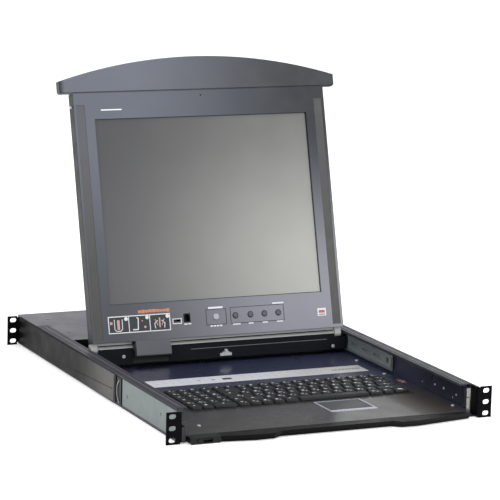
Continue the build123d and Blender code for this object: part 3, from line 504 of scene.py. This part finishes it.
def display_prints():
    """Pictogram panel, bars beside the controls and the plain name bar, all without words."""
    cell_low, cell_high = -40.5, -17.0
    edges = (-173.0, -141.8, -109.2, -78.0)
    white = stroke(rect(edges[0], edges[3], cell_low, cell_high), 1.3, True)
    for x in edges[1:3]:
        white += stroke([(x, cell_low), (x, cell_high)], 1.2)
    white += [disc(-145.8, -20.8, 2.8), disc(-113.2, -20.3, 2.8), disc(-81.4, -20.3, 2.8)]
    white += stroke([(-164, -21), (-164, -35), (-161, -38), (-155, -38), (-152, -35), (-152, -21)], 1.0)
    white += stroke([(-136, -37), (-128, -37), (-127, -21), (-129.5, -20)], 1.5)
    for side in (-1, 1):
        white += stroke([(-94 + side * 3, -26), (-94 + side * 8, -30), (-94 + side * 7, -37)], 1.1)
    red = [rect(-160, -156, -36, -22), rect(-171, -167, -28, -24)]
    red += [disc(-117, -34, 1.8), disc(-121, -25, 1.0)]
    red += stroke([(-94, -22), (-94, -36)], 2.2) + stroke([(-101, -24), (-97, -33)], 1.2)
    red += stroke([(-87, -24), (-91, -33)], 1.2)
    dark = [rect(edges[0] + 0.7, edges[3] - 0.7, cell_low + 0.7, cell_high - 0.7)]
    prints("panel_ground", "dark_ink", dark, DISPLAY, "display", 0.0, 0.05)
    prints("panel_marks_red", "pink", red, DISPLAY, "display")
    orange = []
    for i in range(9):
        x = -126.6 + i * 5.5
        orange.append(rect(x, x + 5.1, -13.4 + rng.uniform(-0.8, 0.5), -9.6 + rng.uniform(-0.6, 0.6)))
    prints("panel_marks_orange", "orange", orange, DISPLAY, "display")
    white += stroke(rect(-73.4, -60.0, -32.4, -25.6), 1.1, True)
    white += [rect(-56, -51, -35, -33.2), rect(-50, -45, -34.8, -33)]
    white += [rect(-16.5, 6.7, -14.4, -11.6)]
    white += [rect(x, x + 3.8, -40.6, -38.4) for x in (-15, -10, -5, 0)]
    for x0, x1 in ((20.9, 33.1), (46.1, 53.9), (68.6, 77.1), (91.9, 101.7)):
        white.append(rect(x0, x1, -40.0, -37.8))
    white.append(rect(86.6, 104.8, -13.2, -11.0))
    white.append(rect(159, 173, -35.4, -24))
    prints("panel_marks_white", "white", white, DISPLAY, "display")
    sticker = [rect(161, 171, -31, -27), rect(161, 171, -34, -32.4)]
    prints("panel_sticker_mark", "red", sticker, DISPLAY, "display", 0.12, 0.17)
    prints("name_bar", "white", [rect(-158, -126, 281.6, 283.4)], DISPLAY, "display")
    rings = []
    for x in (26.0, 50.0, 72.6, 95.0):
        rings += stroke(disc(x, -26.2, 4.3), 1.1, True)
    rings += stroke(rect(-20.6, 11.2, -37.8, -15.2), 0.8, True)
    rings += stroke(rect(18.1, 104.1, -37.8, -14.2), 0.7, True)
    prints("button_rings", "dark_ink", rings, DISPLAY, "display", 0.0, 0.15)
    glass = stroke(rect(-168.1, 168.1, 0.5, 269.1), 1.2, True)
    prints("screen_border", "dark_ink", glass, DISPLAY, "display", -2.85, -2.7)


DECK = Matrix.Translation(Vector((0, 0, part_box("label_strip")[1].z)))
GLYPHS = (
    [[(-1, -1), (-1, 1), (1, 1)]], [[(-1, 1), (1, 1)], [(0, 1), (0, -1)]], [[(-1, -1), (0, 1), (1, -1)]],
    [[(-1, 0), (1, 0)], [(0, -1), (0, 1)]], [[(-1, 1), (-1, -1), (1, -1)]], [[(-1, -1), (1, 1)]],
    [[(-1, 1), (1, 1), (-1, -1), (1, -1)]], [[(-1, -1), (-1, 1), (1, 0), (-1, 0)]],
)


def glyph(x, y, size):
    """A small abstract mark."""
    pieces = []
    for line in rng.choice(GLYPHS):
        pieces += stroke([(x + a * size, y + b * size) for a, b in line], size * 0.55)
    return pieces


def tray_prints():
    """Marks on the label strip, and three lamps and a round sticker on the deck."""
    faint = []
    for i in range(26):
        x = -140 + i * 12.2
        if -45 < x < -12 or x > 128:
            continue
        faint.append(rect(x, x + rng.uniform(3, 7), 292, 293.4))
        faint.append(rect(x, x + rng.uniform(2, 8), 281, 282.2))
    faint += glyph(-72, 284, 4.0) + glyph(-51, 284, 4.0)
    prints("strip_marks", "faint_ink", faint, DECK, "tray", 0.0, 0.05)
    dark = [rect(-37, -23, 279, 288)]
    for i in range(8):
        x = 138 + i * 5.6
        dark += stroke([(x, 281), (x + 1.5, 288), (x + 4, 282), (x + 5, 287)], 0.9)
    prints("strip_dark_marks", "dark_ink", dark, DECK, "tray", 0.0, 0.05)
    lamps = [disc(-153 + dx, y, 1.6) for dx, y in ((0, 224), (7, 213), (14, 202))]
    prints("status_lamps", "lamp", lamps, DECK, "tray", -0.05, 0.5)
    prints("round_sticker", "dull_red", [disc(203, 192, 5.5, 13.0)], DECK, "tray", -0.05, 0.06)
    hook = stroke([(199, 184), (206, 190), (201, 198)], 2.0)
    prints("round_sticker_mark", "pink", hook, DECK, "tray", 0.06, 0.1)


# ---- keys ---------------------------------------------------------------------
CORNER_STEPS = 3
SECOND_MARK_SHARE = 0.6
BAR_KEY_WIDTH = 60              # a key wider than this is the space bar, and stays plain, mm
LAST_KEY_X = 165                # beyond this a front row's key has a bright mark too, mm


def islands(obj):
    """Bounds of each separate solid in a CAD node's mesh."""
    parent = {}

    def root(k):
        while parent[k] != k:
            parent[k] = parent[parent[k]]
            k = parent[k]
        return k

    keys = [tuple(round(c * 1e6) for c in v.co) for v in obj.data.vertices]
    for k in keys:
        parent.setdefault(k, k)
    for face in obj.data.polygons:
        first = root(keys[face.vertices[0]])
        for index in face.vertices[1:]:
            parent[root(keys[index])] = first
    found = {}
    for k, vertex in zip(keys, obj.data.vertices):
        low, high = found.setdefault(root(k), (vertex.co.copy(), vertex.co.copy()))
        for axis in range(3):
            low[axis] = min(low[axis], vertex.co[axis])
            high[axis] = max(high[axis], vertex.co[axis])
    return sorted(found.values(), key=lambda pair: pair[0].x)


def rounded(low, high, inset, radius, z):
    """Ring of points around a rounded rectangle."""
    ring = []
    x0, x1, y0, y1 = low.x + inset, high.x - inset, low.y + inset, high.y - inset
    for right, top, start in ((1, 1, 0), (0, 1, 90), (0, 0, 180), (1, 0, 270)):
        cx = x1 - radius if right else x0 + radius
        cy = y1 - radius if top else y0 + radius
        for i in range(CORNER_STEPS + 1):
            angle = math.radians(start + 90 * i / CORNER_STEPS)
            ring.append((cx + radius * math.cos(angle), cy + radius * math.sin(angle), z))
    return ring


# inset, corner radius and height of each ring of a cap, mm and share of its height
CAP_RINGS = ((0.0, 0.7, 0.0), (0.15, 0.8, 0.3), (1.0, 1.3, 0.82), (1.3, 1.4, 0.94), (1.8, 1.5, 1.0),
             (2.4, 1.6, 0.975), (3.6, 1.4, 0.93), (5.2, 0.8, 0.91))


def keycaps():
    """Dished caps in the place of the plain CAD keys, with marks on all but the space bar."""
    for row in KEY_ROWS:
        node = NODES["keys_%s_row" % row]
        body = "%s_key_row" % row
        bm = bmesh.new()
        marks = []
        for low, high in islands(node):
            rings = []
            for inset, radius, share in CAP_RINGS:
                z = low.z + (high.z - low.z) * share
                ring = rounded(low, high, inset * MM, radius * MM, z)
                rings.append([bm.verts.new(point) for point in ring])
            bm.faces.new(rings[0][::-1])
            for lower, upper in zip(rings, rings[1:]):
                for i in range(len(lower)):
                    j = (i + 1) % len(lower)
                    bm.faces.new((lower[i], lower[j], upper[j], upper[i]))
            bm.faces.new(rings[-1])
            x, y = (low.x + high.x) / 2 / MM, (low.y + high.y) / 2 / MM
            wide = (high.x - low.x) / MM
            if wide < BAR_KEY_WIDTH:
                marks += glyph(x - 1.4, y + 1.6, 1.6)
                if rng.random() < SECOND_MARK_SHARE:
                    marks += glyph(x + 2.4, y - 2.6, 0.9)
            if x > LAST_KEY_X and row in ("bottom", "lower"):
                marks.append(rect(x - 3.5, x + 3, y - 1, y + 3))
            top = Matrix.Translation(Vector((0, 0, high.z)))
        mesh = bpy.data.meshes.new("caps_" + row)
        bm.to_mesh(mesh)
        bm.free()
        mesh.shade_smooth()
        mesh.set_sharp_from_angle(angle=math.radians(50))
        mesh.materials.append(MATERIALS["key"])
        obj = bpy.data.objects.new("caps_" + row, mesh)
        bpy.context.scene.collection.objects.link(obj)
        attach(obj, body)
        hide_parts("keys_%s_row" % row)
        prints("legends_" + row, "key_ink", marks, top, body, -0.5, 0.02)


FLANGE_SETBACK, FLANGE_END = 24.0, 540.0        # mm
CARRIAGE_WALL_AHEAD = 5.3                       # from the hinge axis to the wall's front face, mm
CHANNEL_SHEET = 1.2                             # mm


def flange_lines():
    """Seams along the side walls' flanges, and a painted highlight line beside the inner one."""
    front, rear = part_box("side_channels")[0].y / MM + FLANGE_SETBACK, FLANGE_END
    top = Matrix.Translation(Vector((0, 0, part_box("side_channels")[1].z)))
    for side, word in ((-1, "left"), (1, "right")):
        inner, outer, highlight_x = (side * x for x in (209.0, 217.6, 211.0))
        seam = [rect(inner - 0.8, inner + 0.8, front, rear), rect(outer - 0.5, outer + 0.5, front, rear)]
        shine = [rect(highlight_x - 0.5, highlight_x + 0.5, front, rear)]
        prints("flange_seam_" + word, "seam", seam, top, "chassis", -0.05, 0.02)
        # painted highlight line beside the inner flange
        prints("flange_highlight_" + word, "edge", shine, top, "chassis", -0.05, 0.03)


def wall_line():
    """Painted highlight along the lit edge of the groove in the carriage wall."""
    front = HINGE.y - CARRIAGE_WALL_AHEAD * MM
    place = Matrix.Translation(Vector((0, front, 0))) @ Matrix((
        (1, 0, 0, 0), (0, 0, -1, 0), (0, 1, 0, 0), (0, 0, 0, 1)))
    prints("wall_line", "edge", [rect(-44, 176, 9.9, 10.9)], place, "carriage", -0.1, 0.06)


def rivets():
    """Rivet heads on the inner faces of the channels that carry the display."""
    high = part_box("lcd_rail_channels")[1]
    inner = high.x - CHANNEL_SHEET * MM
    for side in (-1, 1):
        place = Matrix.Translation(Vector((side * inner, 0, 0))) @ Matrix((
            (0, 0, -side, 0), (1, 0, 0, 0), (0, 1, 0, 0), (0, 0, 0, 1)))
        spots = [disc(y, z, 1.7) for y, z in ((111, 0.5), (85, 1.1), (49, -0.2))]
        word = "left" if side < 0 else "right"
        prints("rail_rivets_" + word, "catch", spots, place, "chassis", 0.0, 0.3)


# ---- stage --------------------------------------------------------------------
FLOOR_REACH = 30.0
FLOOR_TONE = (0.93, 0.93, 0.93, 1)
FLOOR_GLOW = 0.3
SKY_TINT = (0.98, 0.985, 1.0, 1)
SKY_STRENGTH = 0.95


def floor(low):
    """Pale floor at the height of the part's lowest point."""
    mesh = bpy.data.meshes.new("studio_floor")
    corners = [(x, y, low.z) for x, y in rect(-FLOOR_REACH, FLOOR_REACH, -FLOOR_REACH, FLOOR_REACH)]
    mesh.from_pydata(corners, [], [(0, 1, 2, 3)])
    obj = bpy.data.objects.new("studio_floor", mesh)
    bpy.context.scene.collection.objects.link(obj)
    s = Surface("floor_white", 0.9, specular=0.1)
    s.shader.inputs["Base Color"].default_value = FLOOR_TONE
    s.shader.inputs["Emission Color"].default_value = WHITE
    s.shader.inputs["Emission Strength"].default_value = FLOOR_GLOW
    mesh.materials.append(s.material)


def area_light(name, place, target, size, power):
    data = bpy.data.lights.new(name, "AREA")
    data.shape = "RECTANGLE"
    data.size, data.size_y = size
    data.energy = power
    obj = bpy.data.objects.new(name, data)
    bpy.context.scene.collection.objects.link(obj)
    obj.location = place
    obj.rotation_mode = "QUATERNION"
    obj.rotation_quaternion = (Vector(target) - Vector(place)).to_track_quat("-Z", "Y")


def lights():
    world = bpy.data.worlds.new("studio")
    bpy.context.scene.world = world
    world.use_nodes = True
    sky = world.node_tree.nodes["Background"]
    sky.inputs["Color"].default_value = SKY_TINT
    sky.inputs["Strength"].default_value = SKY_STRENGTH
    area_light("overhead", (0.0, 0.0, 2.6), (0, 0.25, 0), (2.6, 2.2), 26)
    area_light("front_right", (1.9, -2.2, 1.3), (0, 0.2, 0.1), (1.2, 1.4), 15)
    area_light("front_left", (-2.4, -1.4, 1.1), (0, 0.2, 0.1), (1.0, 1.4), 9)


def camera():
    """Camera at the front left, rolled a little, aimed at CAMERA_TARGET."""
    azimuth, elevation, roll = (math.radians(a) for a in (CAMERA_AZIMUTH, CAMERA_ELEVATION, CAMERA_ROLL))
    level = math.cos(elevation)
    back = Vector((math.sin(azimuth) * level, -math.cos(azimuth) * level, math.sin(elevation)))
    right = (-back).cross(Vector((0, 0, 1))).normalized()
    up = right.cross(-back)
    side = right * math.cos(roll) + up * math.sin(roll)
    top = up * math.cos(roll) - right * math.sin(roll)
    data = bpy.data.cameras.new("camera")
    data.lens = LENS
    data.sensor_width = 36
    data.clip_end = 100
    obj = bpy.data.objects.new("camera", data)
    bpy.context.scene.collection.objects.link(obj)
    basis = Matrix((side, top, back)).transposed()
    obj.matrix_world = Matrix.Translation(CAMERA_TARGET + back * CAMERA_DISTANCE) @ basis.to_4x4()
    bpy.context.scene.camera = obj


bpy.context.scene.view_settings.view_transform = "Standard"
finish_nodes()
keycaps()
display_prints()
tray_prints()
rivets()
flange_lines()
wall_line()
floor(CAD_BOX[0])
lights()
camera()
